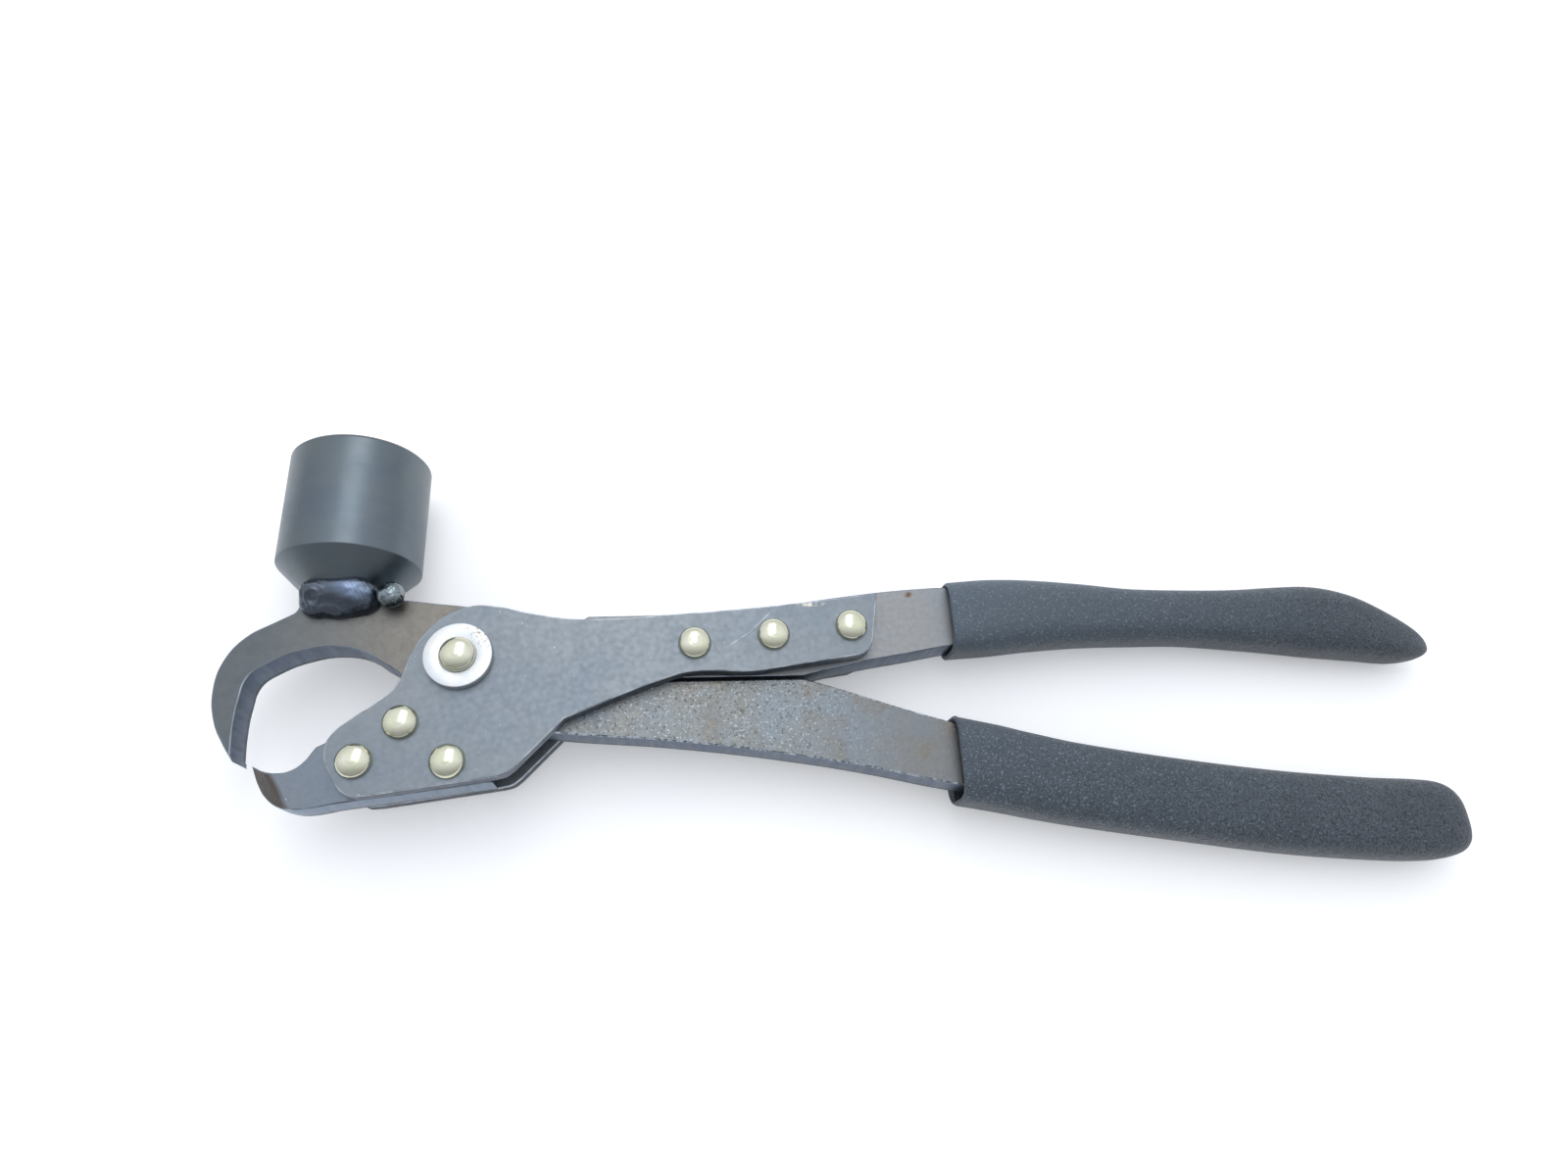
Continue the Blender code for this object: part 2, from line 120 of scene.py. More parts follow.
def new_finish(name, roughness, metallic):
    """A material, its node tree, its shader and the object's coordinates."""
    material = bpy.data.materials.new(name)
    material.use_nodes = True
    tree = material.node_tree
    shader = tree.nodes["Principled BSDF"]
    shader.inputs["Roughness"].default_value = roughness
    shader.inputs["Metallic"].default_value = metallic
    return material, tree, shader, add(tree, "TexCoord", "Object", {})


def dress(tree, shader, **patterns):
    """Feed the shader's sockets; an underscore stands for a space."""
    for socket, output in patterns.items():
        tree.links.new(output, shader.inputs[socket.replace("_", " ")])


# %% [markdown]
# ### Patterns in real sizes
# Nearly every finish here is made of the same four patterns. A mottle is cloudy
# noise whose lumps have a known width. Specks are what is left of a fine mottle
# when only its peaks are kept. A mark is a spindle laid between two places on the
# tool: a scratch, a rub or a stain. A ramp fades from one place along the tool to
# another. Each takes its size in millimetres, so the scale in the shader follows
# from the real thing.


# %% Mottle, specks, marks and ramps
def mottle(tree, coords, width_mm, low=0.0, high=1.0, detail=3.0, keep=(0.32, 0.68)):
    """Cloudy noise with lumps of a real width, stretched from low to high."""
    cloud = add(tree, "TexNoise", "Fac",
                {"Vector": coords, "Scale": 0.5 / (width_mm * MM),
                 "Detail": detail, "Roughness": 0.6})
    return add(tree, "MapRange", "Result",
               {"Value": cloud, "From Min": keep[0], "From Max": keep[1],
                "To Min": low, "To Max": high})


def specks(tree, coords, width_mm, level, within=1.0):
    """1 on small ragged specks; a higher level leaves fewer of them."""
    dots = mottle(tree, coords, width_mm, detail=1.0, keep=(level, level + 0.1))
    return add(tree, "Math", "Value", {0: dots, 1: within}, operation="MULTIPLY")


# A mark reaches this many metres up and down, so it is the same on every face.
THROUGH = 1000.0


def mark(tree, coords, start, end, half_width, soft=0.4):
    """1 along a spindle between two places, in mm off the pivot."""
    start, end = Vector((*start, 0)), Vector((*end, 0))
    along = end - start
    stretch = (along.length / 2 * MM, half_width * MM, THROUGH)
    local = add(tree, "Mapping", "Vector",
                {"Vector": coords, "Location": at(*(start + end) / 2),
                 "Rotation": (0, 0, math.atan2(along.y, along.x)),
                 "Scale": stretch}, vector_type="TEXTURE")
    far = add(tree, "VectorMath", "Value", {0: local}, operation="LENGTH")
    return add(tree, "MapRange", "Result",
               {"Value": far, "From Min": 1.0, "From Max": soft})


def ramp(tree, coords, axis, start_mm, end_mm):
    """0 before one place along an axis and 1 after another, soft between."""
    place = add(tree, "SeparateXYZ", axis, {"Vector": coords})
    origin = pivot["XYZ".index(axis)]
    return add(tree, "MapRange", "Result",
               {"Value": place, "From Min": origin + start_mm * MM,
                "From Max": origin + end_mm * MM})


# %% [markdown]
# ## Steel plate
# Each plate is mild steel with a skin of its own. The cheeks are cold rolled:
# fine, even and bluish, with a few bright nicks. The bar is hot rolled, smoother
# and warmer. The lever's handle is coarse, pitted and sparkling. One recipe
# serves them all: soft clouds of tone, a fine grain, bright specks, dark pits,
# and a bump of real depth made from the same patterns. The grain on real sheet
# is about 0.05 mm, too fine to show from this distance, so it is drawn four or
# five times coarser, at 0.2 to 0.24 mm.


# %% One recipe for plate steel
# Pits are read from another part of the noise, so they don't follow the specks.
ELSEWHERE = (0.5, 0.3, 0.1)


def plate_steel(name, cool, warm, roughness, grain_mm=0.24, contrast=0.12,
                speck_level=0.72, speck="#C9D2DA", within=1.0, depth_mm=0.008):
    """Cloudy tone, grain, specks and pits; returns its colour and normal."""
    material, tree, shader, coords = new_finish(name, roughness, 1.0)
    tone = add(tree, "Mix", COLOUR, {FACTOR: mottle(tree, coords, 9.0),
                                     UNDER: linear(cool), OVER: linear(warm)},
               **RGBA)
    fine = mottle(tree, coords, grain_mm, detail=4.0)
    shade = mottle(tree, coords, grain_mm, 1 - contrast, 1 + contrast, 4.0)
    tone = add(tree, "Mix", COLOUR, {FACTOR: 1.0, UNDER: tone, OVER: shade},
               **TIMES)
    bright = specks(tree, coords, grain_mm * 1.3, speck_level, within)
    tone = add(tree, "Mix", COLOUR, {FACTOR: bright, UNDER: tone,
                                     OVER: linear(speck)}, **RGBA)
    moved = add(tree, "Mapping", "Vector", {"Vector": coords,
                                            "Location": ELSEWHERE})
    dark = specks(tree, moved, grain_mm * 1.5, speck_level + 0.01)
    tone = add(tree, "Mix", COLOUR, {FACTOR: dark, UNDER: tone,
                                     OVER: linear("#66645F")}, **RGBA)
    normal = add(tree, "Bump", "Normal", {"Height": fine, "Distance": depth_mm * MM,
                                          "Strength": 1.0})
    normal = add(tree, "Bump", "Normal", {"Height": dark, "Normal": normal,
                                          "Distance": -2 * depth_mm * MM,
                                          "Strength": 1.0})
    rough = mottle(tree, coords, grain_mm * 2, roughness - 0.06, roughness + 0.08)
    dress(tree, shader, Base_Color=tone, Roughness=rough, Normal=normal)
    return material, tree, shader, coords, tone, normal


# %% [markdown]
# ### Cheek plates: cold-rolled steel, lightly oiled
# They carry two marks of use: a bent scratch between the handle rivets, and a
# spot on the top edge rubbed down to bright metal. Each is laid at a measured
# place and broken up by a mottle. A mark runs right through, so the back plate
# has it too. A real scratch is 0.05 mm wide; it is drawn at about 0.25 mm so that
# it shows.

# %% Cold-rolled cheek steel
cheek_steel, tree, shader, coords, tone, normal = plate_steel(
    "cold_rolled_cheek_steel", "#7A838B", "#82888D", 0.46, grain_mm=0.24,
    contrast=0.07, speck_level=0.76, depth_mm=0.005)
SCRATCH = [((50.2, 0.9), (56.4, 5.0), 0.11), ((55.0, 4.0), (60.8, 9.5), 0.13)]
for start, end, half_width in SCRATCH:
    line = add(tree, "Math", "Value",
               {0: mark(tree, coords, start, end, half_width),
                1: mottle(tree, coords, 0.7, 0.1, 0.9)}, operation="MULTIPLY")
    tone = add(tree, "Mix", COLOUR, {FACTOR: line, UNDER: tone,
                                     OVER: linear("#BEC0C2")}, **RGBA)
broken = mottle(tree, coords, 0.5, 0.0, 1.0, keep=(0.4, 0.6))
rub = add(tree, "Math", "Value",
          {0: mark(tree, coords, (65.0, 10.0), (71.6, 10.4), 0.6), 1: broken},
          operation="MULTIPLY")
tone = add(tree, "Mix", COLOUR, {FACTOR: rub, UNDER: tone,
                                 OVER: linear("#C8C3BA")}, **RGBA)
dress(tree, shader, Base_Color=tone)
print("cheek steel has", len(tree.nodes), "nodes")

# %% [markdown]
# ### Jaw, bar and lever
# The fixed jaw is darker and bluer than the cheeks, and oily brown at its ground
# nose. The handle bar is a warm hot-rolled grey with one speck of rust. The
# lever is two surfaces in one piece: its hook was dressed smooth and has gone
# brown near the pivot and blue at the tip, and its handle kept the rough mill
# skin, which sparkles and is stained brown in places, and is plainer towards the
# grip. A ramp along X changes one into the other under the cheeks, where the join
# can't be seen.

# %% Jaw steel
jaw_steel, tree, shader, coords, tone, normal = plate_steel(
    "oiled_jaw_steel", "#737D88", "#7A8087", 0.42, grain_mm=0.24,
    contrast=0.06, speck_level=0.78, depth_mm=0.004)
oil = mark(tree, coords, (-38.5, -15.5), (-28.5, -29.0), 2.6, 0.7)
tone = add(tree, "Mix", COLOUR, {FACTOR: oil, UNDER: tone,
                                 OVER: linear("#544E4B")}, **RGBA)
dress(tree, shader, Base_Color=tone)

# %% Handle bar steel
bar_steel, tree, shader, coords, tone, normal = plate_steel(
    "hot_rolled_bar_steel", "#8B9095", "#92918F", 0.5, grain_mm=0.24,
    contrast=0.05, speck_level=0.8, depth_mm=0.004)
rust = add(tree, "Math", "Value",
           {0: mark(tree, coords, (88.6, 13.1), (90.8, 13.9), 0.8),
            1: mottle(tree, coords, 0.4, 0.2, 1.0)}, operation="MULTIPLY")
tone = add(tree, "Mix", COLOUR, {FACTOR: rust, UNDER: tone,
                                 OVER: linear("#6B4A35")}, **RGBA)
dress(tree, shader, Base_Color=tone)

# %% Lever steel: rough handle, smooth hook
UNDER_CHEEKS, TOWARDS_GRIP = (5.0, 15.0), (62.0, 88.0)
lever_steel, tree, shader, coords, tone, normal = plate_steel(
    "pitted_lever_steel", "#7B868F", "#7F7F7B", 0.44, grain_mm=0.2,
    contrast=0.13, speck_level=0.60, speck="#A3ADB6", depth_mm=0.010)
plain = add(tree, "Mix", COLOUR,
            {FACTOR: mottle(tree, coords, 9.0), UNDER: linear("#767C82"),
             OVER: linear("#7B7C7B")}, **RGBA)
near_grip = ramp(tree, coords, "X", *TOWARDS_GRIP)
tone = add(tree, "Mix", COLOUR, {FACTOR: near_grip, UNDER: tone, OVER: plain},
           **RGBA)
stain = mottle(tree, coords, 4.0, 0.0, 0.5, keep=(0.52, 0.7))
tone = add(tree, "Mix", COLOUR, {FACTOR: stain, UNDER: tone,
                                 OVER: linear("#7A7061")}, **RGBA)
is_hook = add(tree, "Math", "Value",
              {0: 1.0, 1: ramp(tree, coords, "X", *UNDER_CHEEKS)},
              operation="SUBTRACT")
to_tip = add(tree, "Math", "Value",
             {0: 1.0, 1: ramp(tree, coords, "X", -36.0, -6.0)},
             operation="SUBTRACT")
hook = add(tree, "Mix", COLOUR, {FACTOR: to_tip, UNDER: linear("#7D7972"),
                                 OVER: linear("#64696C")}, **RGBA)
hook = add(tree, "Mix", COLOUR,
           {FACTOR: 1.0, UNDER: hook, OVER: mottle(tree, coords, 1.2, 0.95, 1.05)},
           **TIMES)
tone = add(tree, "Mix", COLOUR, {FACTOR: is_hook, UNDER: tone, OVER: hook},
           **RGBA)
smooth = add(tree, "Bump", "Normal",
             {"Height": mottle(tree, coords, 0.5), "Distance": 0.004 * MM,
              "Strength": 1.0})
normal = add(tree, "Mix", 1, {0: is_hook, 4: normal, 5: smooth},
             data_type="VECTOR")
dress(tree, shader, Base_Color=tone, Normal=normal)
print("lever steel has", len(tree.nodes), "nodes")

# %% [markdown]
# ### Cut walls and worn rims with painted highlights
# A plate's wall was sheared, not rolled, so it shows fine lines through its
# thickness: noise squeezed along the wall and left long in Z. Near the bottom the
# wall is painted dark, as painted shade where it faces down to the table. The
# rim between face and wall is where hands and drawers rub, so it is brighter, and
# part of that brightness is a painted highlight; on the coarse handle it is a
# broken burr. Each is a material of its own on the bevel's faces, which keeps the
# wear and the highlight exactly on the edge.


# %% Sheared wall and rubbed rim with a painted highlight
# Below this height the wall is painted dark: painted shade at its foot, where it faces the
# table.
FOOT_SHADE_TOP = core_low.z + 1.6


def sheared_wall(name, dark, light):
    """Fine upright lines, with painted shade darkening the bottom of the wall."""
    material, tree, shader, coords = new_finish(name, 0.46, 1.0)
    squeezed = add(tree, "Mapping", "Vector",
                   {"Vector": coords, "Scale": (1, 1, 0.12)})
    lines = mottle(tree, squeezed, 0.5, detail=4.0)
    tone = add(tree, "Mix", COLOUR, {FACTOR: lines, UNDER: linear(dark),
                                     OVER: linear(light)}, **RGBA)
    # Painted shade: the wall darkens towards its bottom edge.
    foot_shade = ramp(tree, coords, "Z", FOOT_SHADE_TOP, core_low.z + 0.4)
    tone = add(tree, "Mix", COLOUR, {FACTOR: foot_shade, UNDER: tone,
                                     OVER: linear("#3E454D")}, **RGBA)
    normal = add(tree, "Bump", "Normal", {"Height": lines, "Strength": 1.0,
                                          "Distance": 0.012 * MM})
    dress(tree, shader, Base_Color=tone, Normal=normal,
          Roughness=mottle(tree, squeezed, 0.9, 0.4, 0.54))
    return material


def rubbed_highlit_rim(name, dull, bright, patch_mm, keep):
    """A rim worn bright in patches, where a mottle passes the keep levels; the bright colour is
    partly wear and partly a painted highlight.
    """
    material, tree, shader, coords = new_finish(name, 0.34, 1.0)
    worn = mottle(tree, coords, patch_mm, detail=4.0, keep=keep)
    tone = add(tree, "Mix", COLOUR, {FACTOR: worn, UNDER: linear(dull),
                                     OVER: linear(bright)}, **RGBA)
    normal = add(tree, "Bump", "Normal",
                 {"Height": mottle(tree, coords, 0.4), "Strength": 1.0,
                  "Distance": 0.004 * MM})
    dress(tree, shader, Base_Color=tone, Normal=normal,
          Roughness=mottle(tree, coords, 1.6, 0.28, 0.42))
    return material, tree, shader, coords, tone


cut_wall = sheared_wall("sheared_steel_wall", "#5E6876", "#6C7786")
# Painted light: the jaw's walls get a lighter copy of the sheared steel, standing in for the
# light the bright table throws on them.
lit_jaw_wall = sheared_wall("sheared_lit_jaw_wall", "#7A8796", "#8C99A9")
dark_wall = sheared_wall("sheared_cheek_wall", "#525A64", "#666F79")
# The cheek rim's bright line is partly wear and partly a painted highlight along the edge.
highlit_cheek_rim = rubbed_highlit_rim("rubbed_highlit_cheek_rim", "#7F878F", "#CDD4DA", 2.5, (0.35, 0.65))[0]
jaw_rim = rubbed_highlit_rim("rubbed_jaw_rim", "#666D75", "#98A3AF", 2.5, (0.4, 0.7))[0]

# The lever's rim is a burr along the handle and a smooth line round the hook, both brightened
# partly as a painted highlight.
highlit_lever_rim, tree, shader, coords, tone = rubbed_highlit_rim(
    "burred_highlit_lever_rim", "#636B73", "#C6CED5", 0.35, (0.42, 0.62))
# Painted highlight: a continuous light line round the hook's rim.
hook_highlight_line = add(tree, "Mix", COLOUR,
                  {FACTOR: mottle(tree, coords, 4.0), UNDER: linear("#6D747C"),
                   OVER: linear("#8E97A1")}, **RGBA)
is_handle = ramp(tree, coords, "X", *UNDER_CHEEKS)
tone = add(tree, "Mix", COLOUR, {FACTOR: is_handle, UNDER: hook_highlight_line,
                                 OVER: tone}, **RGBA)
dress(tree, shader, Base_Color=tone)

# %% [markdown]
# ## Finishing a piece
# Every piece ends the same way. Round parts shade smoothly while crisp corners
# stay crisp, the piece rides on its body and takes its materials, and the CAD
# node it stands for is hidden.

# %% Finish, ride and report
SHARP = math.radians(38)
FIXED, LEVER = "fixed_jaw_side", "lever_side"


def finish(name, bm, body, node, materials):
    """Turn a bmesh into a named piece of the tool.

    A copied CAD mesh brings stored normals that no longer fit its new rims, so
    they are dropped and worked out again.
    """
    for face in bm.faces:
        face.smooth = True
    for edge in bm.edges:
        edge.smooth = edge.smooth and edge.calc_face_angle(0.0) < SHARP
    mesh = bpy.data.meshes.new(name)
    bm.to_mesh(mesh)
    bm.free()
    stored = mesh.attributes.get("custom_normal")
    if stored:
        mesh.attributes.remove(stored)
    piece = bpy.data.objects.new(name, mesh)
    bpy.context.scene.collection.objects.link(piece)
    for material in materials:
        mesh.materials.append(material)
    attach(piece, body)
    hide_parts(node)
    print(f"{name}: {len(mesh.polygons)} faces")
    return piece


# %% [markdown]
# ## Plates with eased rims
# A CAD plate has knife-sharp rims, and no real one has. We copy the CAD mesh,
# merge its loose triangles, and dissolve the flat ones back into whole faces, so
# that few edges but the real ones are left. Then a small bevel rounds each rim.
# A Bevel modifier could do it too, but with bmesh the rim gets its own material,
# and the walls another. A face with holes can't be one polygon, so it keeps long
# thin joins that the bevel may cross; the flat faces are therefore filled anew.
# They keep a sharp border, or the bevel would pull their shading round.

# %% Plates from their CAD nodes
FACE, RIM, WALL = 0, 1, 2
WELD_TOGETHER = 0.000001


def refill_caps(bm):
    """Fill the flat faces anew inside their rims, round the holes."""
    caps = [face for face in bm.faces if abs(face.normal.z) > 0.9999
            and face.material_index == FACE]
    bmesh.ops.delete(bm, geom=caps, context="FACES")
    rims = [edge for edge in bm.edges if edge.is_boundary]
    for height in sorted({round(edge.verts[0].co.z, 6) for edge in rims}):
        loops = [e for e in rims if round(e.verts[0].co.z, 6) == height]
        bmesh.ops.triangle_fill(bm, edges=loops, use_beauty=True)
    bmesh.ops.recalc_face_normals(bm, faces=bm.faces)


def plate(name, node, body, rim_mm, materials):
    bm = bmesh.new()
    bm.from_mesh(frame["nodes"][node].data)
    bmesh.ops.remove_doubles(bm, verts=bm.verts, dist=WELD_TOGETHER)
    bmesh.ops.dissolve_limit(bm, angle_limit=math.radians(0.3), verts=bm.verts,
                             edges=bm.edges, delimit={"NORMAL"})
    for face in bm.faces:
        face.material_index = WALL if abs(face.normal.z) < 0.3 else FACE
    rims = [edge for edge in bm.edges
            if {f.material_index for f in edge.link_faces} == {FACE, WALL}]
    bmesh.ops.bevel(bm, geom=rims, offset=rim_mm * MM, offset_type="OFFSET",
                    affect="EDGES", segments=3, profile=0.5, material=RIM,
                    clamp_overlap=False, loop_slide=False)
    refill_caps(bm)
    for edge in bm.edges:
        kinds = {face.material_index for face in edge.link_faces}
        edge.smooth = kinds != {FACE, RIM}
    print(name, "has", len(rims), "rim edges")
    return finish(name, bm, body, node, materials)


plate("front_cheek", "front_cheek_plate", FIXED, 0.25,
      [cheek_steel, highlit_cheek_rim, dark_wall])
plate("back_cheek", "back_cheek_plate", FIXED, 0.25,
      [cheek_steel, highlit_cheek_rim, dark_wall])
plate("fixed_jaw", "lower_jaw", FIXED, 0.25,
      [jaw_steel, jaw_rim, lit_jaw_wall])
plate("handle_bar", "upper_handle_bar", FIXED, 0.2,
      [bar_steel, jaw_rim, cut_wall])
plate("hook_lever", "hook_jaw_lever", LEVER, 0.28,
      [lever_steel, highlit_lever_rim, cut_wall])

# %% [markdown]
# ## Turned parts
# The hammer head, the rivets and the washers were all made round: turned on a
# lathe, headed in a press or punched. In Blender that is a spin: draw half of
# the outline, turn it about its axis, and merge where the turn closes. The sharp
# corners of the hammer and the washers are then eased with a narrow bevel,
# because a burr never survives handling.


# %% The lathe
def lathe(profile, centre, axis, steps, ring=False):
    """Spin a half outline of (radius, height) in mm about an axis."""
    bm = bmesh.new()
    across = axis.orthogonal().normalized()
    points = [centre + (across * r + axis * h) * MM for r, h in profile]
    verts = [bm.verts.new(point) for point in points]
    edges = [bm.edges.new(pair) for pair in zip(verts, verts[1:])]
    if ring:
        edges.append(bm.edges.new((verts[-1], verts[0])))
    bmesh.ops.spin(bm, geom=verts + edges, cent=centre, axis=axis,
                   angle=math.tau, steps=steps, use_merge=True)
    bmesh.ops.remove_doubles(bm, verts=bm.verts, dist=WELD_TOGETHER)
    bmesh.ops.recalc_face_normals(bm, faces=bm.faces)
    return bm


def ease(bm, width_mm):
    """Round every crisp edge by a narrow bevel."""
    crisp = [edge for edge in bm.edges if edge.calc_face_angle(0.0) > SHARP]
    bmesh.ops.bevel(bm, geom=crisp, offset=width_mm * MM, offset_type="OFFSET",
                    affect="EDGES", segments=3, profile=0.5, material=-1,
                    clamp_overlap=True)
    return bm


# %% [markdown]
# ### Hammer head: turned steel, black oxide
# The head was turned from round bar: a cylinder, a 45-degree cone and a short
# neck. Then it was blackened. Black oxide keeps the metal's shine but darkens it
# to a blue-grey, cloudy where the bath was uneven, with a bare nick here and
# there, and brown on the narrow chamfer round its face. The turning lines are
# really about 0.1 mm apart; they are drawn at 0.4 mm, and very shallow, so that
# they only just show.

# %% Black oxide finish
black_oxide, tree, shader, coords = new_finish("turned_black_oxide_steel", 0.36, 1.0)
tone = add(tree, "Mix", COLOUR, {FACTOR: mottle(tree, coords, 6.0, detail=4.0),
                                 UNDER: linear("#626C75"),
                                 OVER: linear("#6C7477")}, **RGBA)
squeezed = add(tree, "Mapping", "Vector", {"Vector": coords,
                                           "Scale": (0.05, 1, 0.05)})
lines = mottle(tree, squeezed, 0.4, detail=4.0)
worn = add(tree, "Math", "Value", {0: lines, 1: 0.12}, operation="MULTIPLY")
tone = add(tree, "Mix", COLOUR, {FACTOR: worn, UNDER: tone,
                                 OVER: linear("#555D66")}, **RGBA)
nicks = specks(tree, coords, 0.3, 0.78)
tone = add(tree, "Mix", COLOUR, {FACTOR: nicks, UNDER: tone,
                                 OVER: linear("#8E969D")}, **RGBA)
HAMMER_FACE = span("hammer_head")[1].y
chamfer_band = add(tree, "Math", "Value",
                   {0: ramp(tree, coords, "Y", HAMMER_FACE - 0.9, HAMMER_FACE - 0.6),
                    1: ramp(tree, coords, "Y", HAMMER_FACE, HAMMER_FACE - 0.1)},
                   operation="MULTIPLY")
tone = add(tree, "Mix", COLOUR, {FACTOR: chamfer_band, UNDER: tone,
                                 OVER: linear("#4A4348")}, **RGBA)
normal = add(tree, "Bump", "Normal", {"Height": lines, "Strength": 1.0,
                                      "Distance": 0.0015 * MM})
normal = add(tree, "Bump", "Normal",
             {"Height": mottle(tree, coords, 2.5), "Strength": 1.0,
              "Distance": 0.01 * MM, "Normal": normal})
dress(tree, shader, Base_Color=tone, Normal=normal,
      Roughness=mottle(tree, coords, 3.5, 0.33, 0.42))

# %% Hammer head
hammer_low, hammer_high = span("hammer_head")
HAMMER_X = (hammer_low.x + hammer_high.x) / 2
HAMMER_RADIUS = (hammer_high.x - hammer_low.x) / 2
SHOULDER, NECK, NECK_RADIUS, CHAMFER = 21.0, 15.4, 8.0, 0.8
HAMMER_STEPS, RIVET_STEPS, WASHER_STEPS = 128, 56, 96
outline = [(0, HAMMER_FACE), (HAMMER_RADIUS - CHAMFER, HAMMER_FACE),
           (HAMMER_RADIUS, HAMMER_FACE - CHAMFER), (HAMMER_RADIUS, SHOULDER),
           (NECK_RADIUS, NECK), (NECK_RADIUS, hammer_low.y), (0, hammer_low.y)]
bm = lathe(outline, at(HAMMER_X, 0), Vector((0, 1, 0)), HAMMER_STEPS)
finish("hammer_head_turned", ease(bm, 0.2), LEVER, "hammer_head",
       [black_oxide])
print("hammer", round(2 * HAMMER_RADIUS, 1), "mm across")

# %% [markdown]
# ### Rivets: steel with yellow zinc
# Each rivet is a domed head at both ends of a plain shank. The domes were
# rolled down by a spinning tool, which leaves a faint ring near the centre.
# Zinc passivated yellow-green is bright and smooth, and its colour drifts with
# the thickness of the film.

# %% Yellow zinc
yellow_zinc, tree, shader, coords = new_finish("yellow_passivated_zinc", 0.16, 1.0)
tone = add(tree, "Mix", COLOUR, {FACTOR: mottle(tree, coords, 1.6),
                                 UNDER: linear("#CDCFB4"),
                                 OVER: linear("#D8D7C6")}, **RGBA)
tone = add(tree, "Mix", COLOUR, {FACTOR: specks(tree, coords, 0.25, 0.76),
                                 UNDER: tone, OVER: linear("#A09E80")}, **RGBA)
smear = mottle(tree, coords, 0.5)
normal = add(tree, "Bump", "Normal", {"Height": smear, "Strength": 1.0,
                                      "Distance": 0.0015 * MM})
dress(tree, shader, Base_Color=tone, Normal=normal,
      Roughness=mottle(tree, coords, 0.7, 0.12, 0.22))


# %% A rivet with two domed heads
RING_DEPTH, RING_WIDTH, RING_PLACE = 0.03, 0.18, 0.32
DOME_RIM = 0.3
SHANK, PIVOT_SHANK = 2.0, 3.0


def dome(radius, height, rim, steps=20):
    """From the top down: a dome with a shallow rolled ring, then its rim."""
    points = []
    for i in range(steps + 1):
        angle = math.pi / 2 * i / steps
        r = radius * math.sin(angle)
        ring = RING_DEPTH * math.exp(-((r - RING_PLACE * radius) / RING_WIDTH) ** 2)
        points.append((r, rim + (height - rim) * math.cos(angle) - ring))
    return points


def rivet(name, node, seat, shank):
    low, high = span(node)
    centre, head = (low + high) / 2, (high.x - low.x) / 2
    top = [(r, seat + h) for r, h in dome(head, high.z - seat, DOME_RIM)]
    top += [(head, seat + 0.06), (head - 0.1, seat)]
    profile = top + [(shank, seat), (shank, -seat)]
    profile += [(r, -z) for r, z in reversed(top)]
    bm = lathe(profile, at(centre.x, centre.y), Vector((0, 0, 1)), RIVET_STEPS)
    return finish(name, bm, FIXED, node, [yellow_zinc])


RIVET_NODES = [n for n in sorted(frame["nodes"])
               if n.startswith(("jaw_rivet", "handle_rivet"))]
for node in RIVET_NODES:
    rivet(node + "_domed", node, cheek_high.z, SHANK)

# %% [markdown]
# ### Washers and pivot
# The washers under the pivot's heads are punched and plated bright zinc, which
# dries nearly white, with dark specks gathered where the plating is thin.

# %% White zinc
white_zinc, tree, shader, coords = new_finish("bright_zinc_plate", 0.38, 1.0)
tone = add(tree, "Mix", COLOUR, {FACTOR: mottle(tree, coords, 2.2),
                                 UNDER: linear("#C6CCD3"),
                                 OVER: linear("#D2D2D0")}, **RGBA)
thin = specks(tree, coords, 0.22, 0.54,
              mark(tree, coords, (0.5, 8.5), (8.5, 0.5), 3.2))
tone = add(tree, "Mix", COLOUR, {FACTOR: thin, UNDER: tone,
                                 OVER: linear("#97897A")}, **RGBA)
normal = add(tree, "Bump", "Normal",
             {"Height": mottle(tree, coords, 0.4, detail=4.0), "Strength": 1.0,
              "Distance": 0.01 * MM})
dress(tree, shader, Base_Color=tone, Normal=normal,
      Roughness=mottle(tree, coords, 1.2, 0.34, 0.46))

# %% Washers and pivot rivet
WASHER_HOLE = 3.3
for side, node in ((1, "front_pivot_washer"), (-1, "back_pivot_washer")):
    low, high = span(node)
    outer, inner = (high.x - low.x) / 2, WASHER_HOLE
    near, far = cheek_high.z, max(abs(low.z), abs(high.z))
    profile = [(inner, side * near), (outer, side * near),
               (outer, side * far), (inner, side * far)]
    bm = lathe(profile, at(0, 0), Vector((0, 0, 1)), WASHER_STEPS, ring=True)
    finish(node + "_punched", ease(bm, 0.22), FIXED, node,
           [white_zinc])
rivet("pivot_rivet_domed", "pivot_rivet", span("front_pivot_washer")[1].z,
      PIVOT_SHANK)

# %% [markdown]
# ### Bush
# A sintered bronze bush lets the lever turn on the pivot. It is hidden between
# the cheeks, so the CAD node stays as it is and only gets its finish: warm,
# open-pored metal soaked in oil.

# %% Sintered bronze
bronze, tree, shader, coords = new_finish("oiled_sintered_bronze", 0.4, 1.0)
tone = add(tree, "Mix", COLOUR, {FACTOR: mottle(tree, coords, 1.5),
                                 UNDER: linear("#8F6B3E"),
                                 OVER: linear("#A98554")}, **RGBA)
pores = specks(tree, coords, 0.25, 0.6)
tone = add(tree, "Mix", COLOUR, {FACTOR: pores, UNDER: tone,
                                 OVER: linear("#3D2C1C")}, **RGBA)
normal = add(tree, "Bump", "Normal", {"Height": pores, "Strength": 1.0,
                                      "Distance": -0.02 * MM})
dress(tree, shader, Base_Color=tone, Normal=normal,
      Roughness=mottle(tree, coords, 0.8, 0.32, 0.5))
bush_mesh = frame["nodes"]["pivot_bush"].data
bush_mesh.materials.clear()
bush_mesh.materials.append(bronze)
